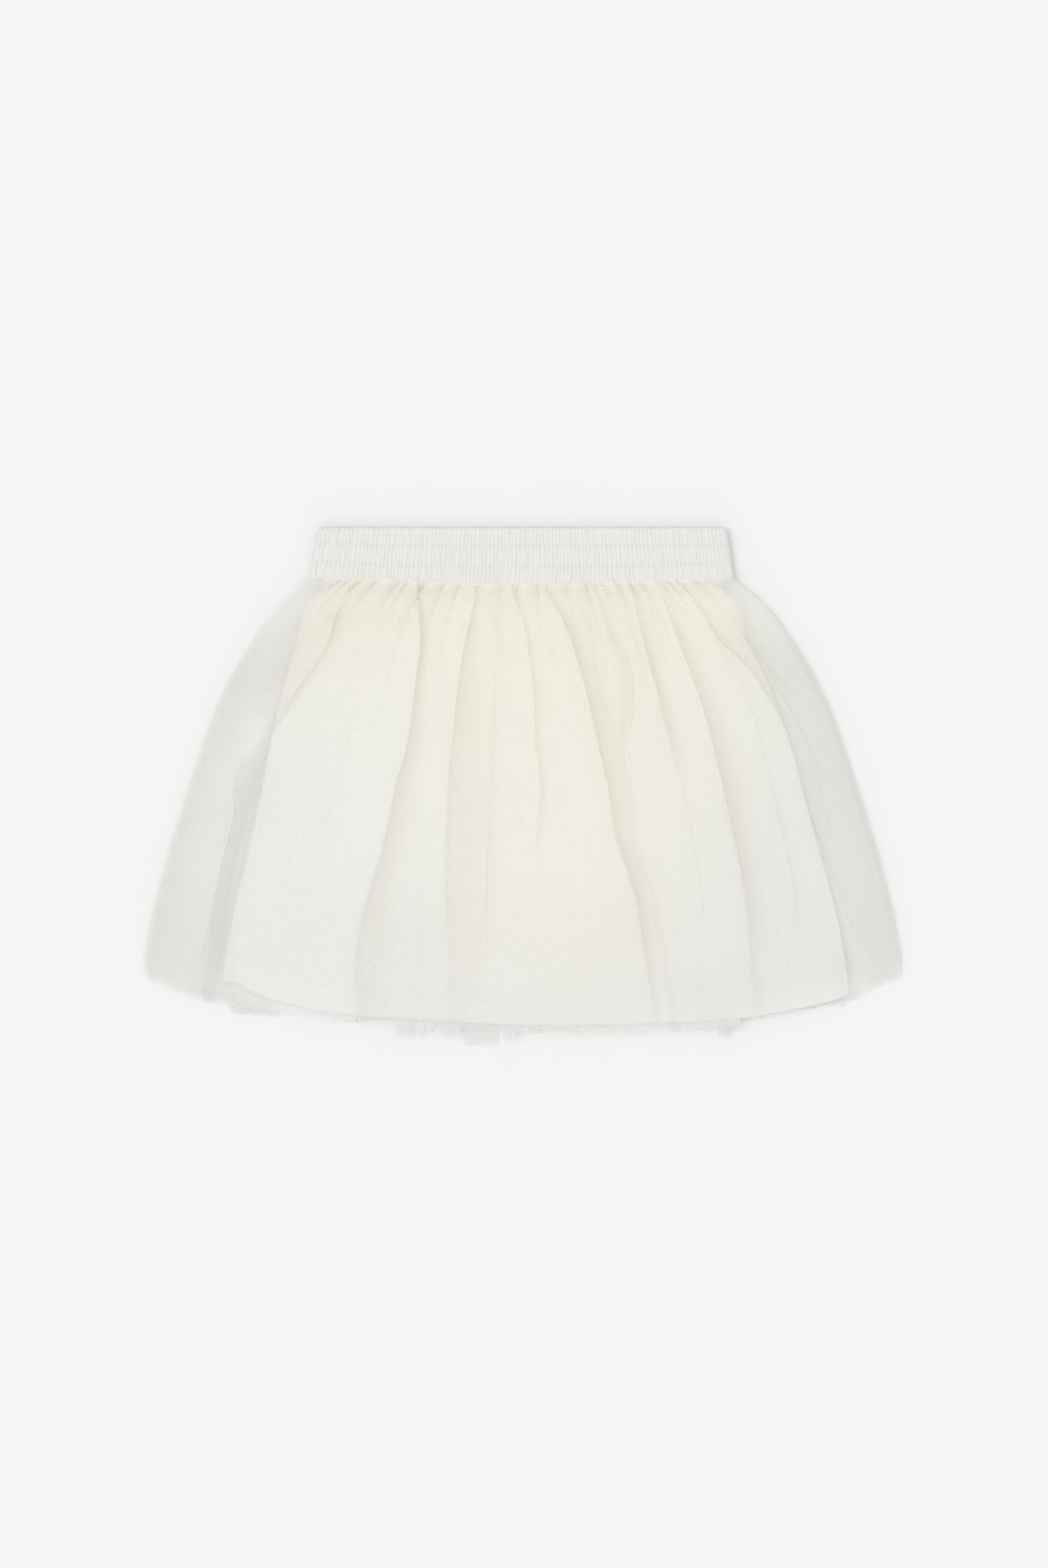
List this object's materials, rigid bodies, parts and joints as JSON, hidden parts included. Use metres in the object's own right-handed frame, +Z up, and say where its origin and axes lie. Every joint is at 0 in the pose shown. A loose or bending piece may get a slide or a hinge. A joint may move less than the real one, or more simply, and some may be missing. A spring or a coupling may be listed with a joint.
{
  "type": "tulle skirt",
  "caption": "Child's gathered tulle skirt with a ruched elastic waistband, layered raw-cut tulle over a woven lining, laid flat on its back.",
  "frame": {"origin": "on the surface that the skirt lies on, under the middle of its box", "axes": "+X across the skirt to its right side as seen, +Y from the hem to the waistband, +Z up from the surface, through the front"},
  "size_m": [0.447, 0.3049, 0.0193],
  "materials": {
    "waistband": "matt off-white woven cotton, ruched",
    "tulle": "soft sheer cream net",
    "lining": "smooth off-white woven"
  },
  "bodies": {
    "root": {"waistband": "waistband", "outer_tulle_front": "tulle", "outer_tulle_back": "tulle", "under_tulle_front": "tulle", "under_tulle_back": "tulle", "lining_front": "lining", "lining_back": "lining"}
  },
  "joints": []
}
